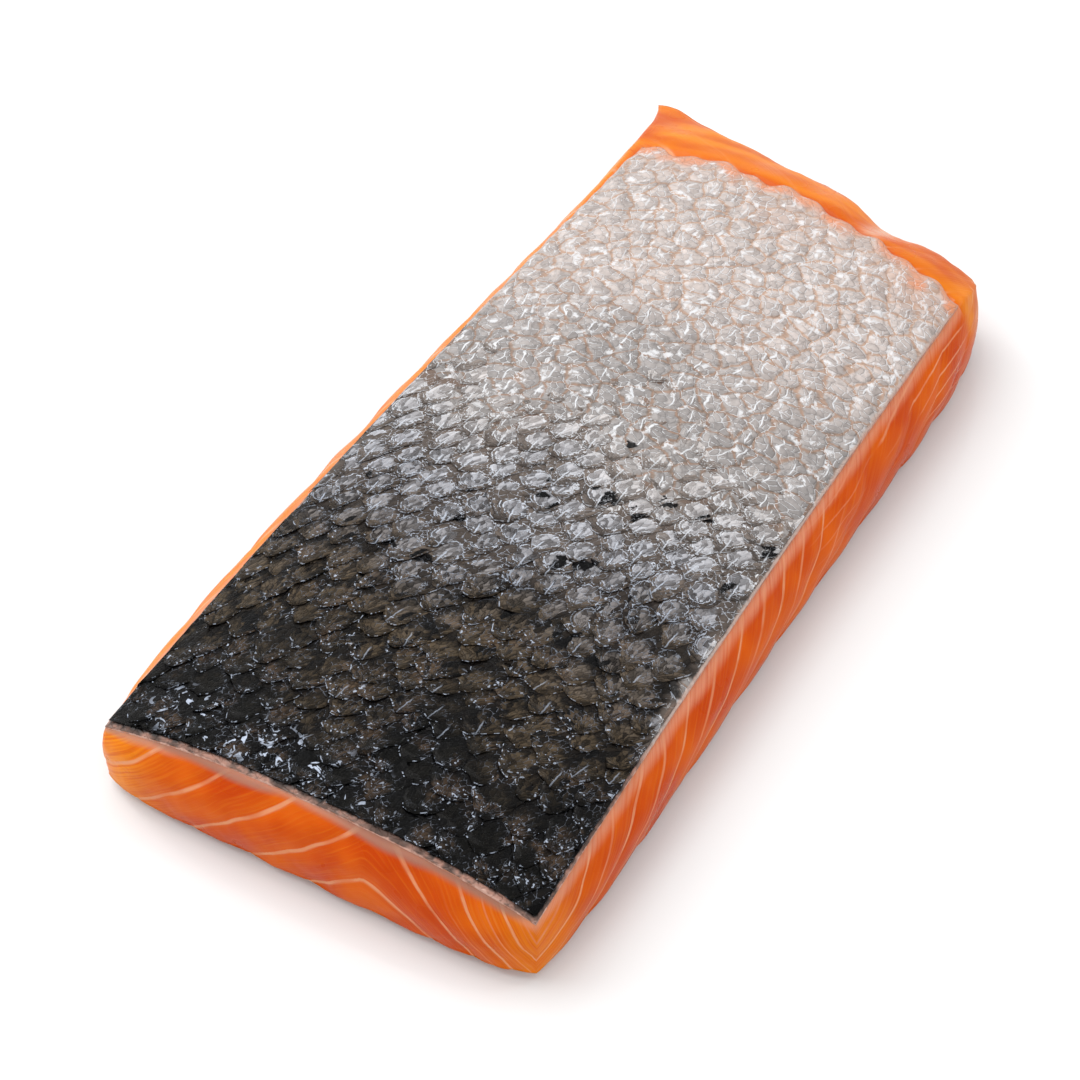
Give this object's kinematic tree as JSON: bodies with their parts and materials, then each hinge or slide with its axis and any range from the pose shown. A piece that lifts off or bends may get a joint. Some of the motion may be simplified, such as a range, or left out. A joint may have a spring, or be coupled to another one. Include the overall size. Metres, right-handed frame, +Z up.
{
  "type": "raw salmon fillet portion",
  "caption": "Thick raw salmon fillet portion lying on its flesh, with crowned scaly skin on top and swelling cut sides.",
  "frame": {"origin": "middle of the fillet's outline, on the surface that it lies on", "axes": "+X across the slab from its left side to its right, +Y along it from the dark back end to the silver belly end, +Z up through the skin"},
  "size_m": [0.0934, 0.2024, 0.0251],
  "materials": {
    "flesh": "wet, translucent orange muscle with pale membranes",
    "skin": "wet scales, near black at the back of the fish and silver at the belly"
  },
  "bodies": {
    "root": {"flesh": "flesh", "skin": "skin"}
  },
  "joints": []
}
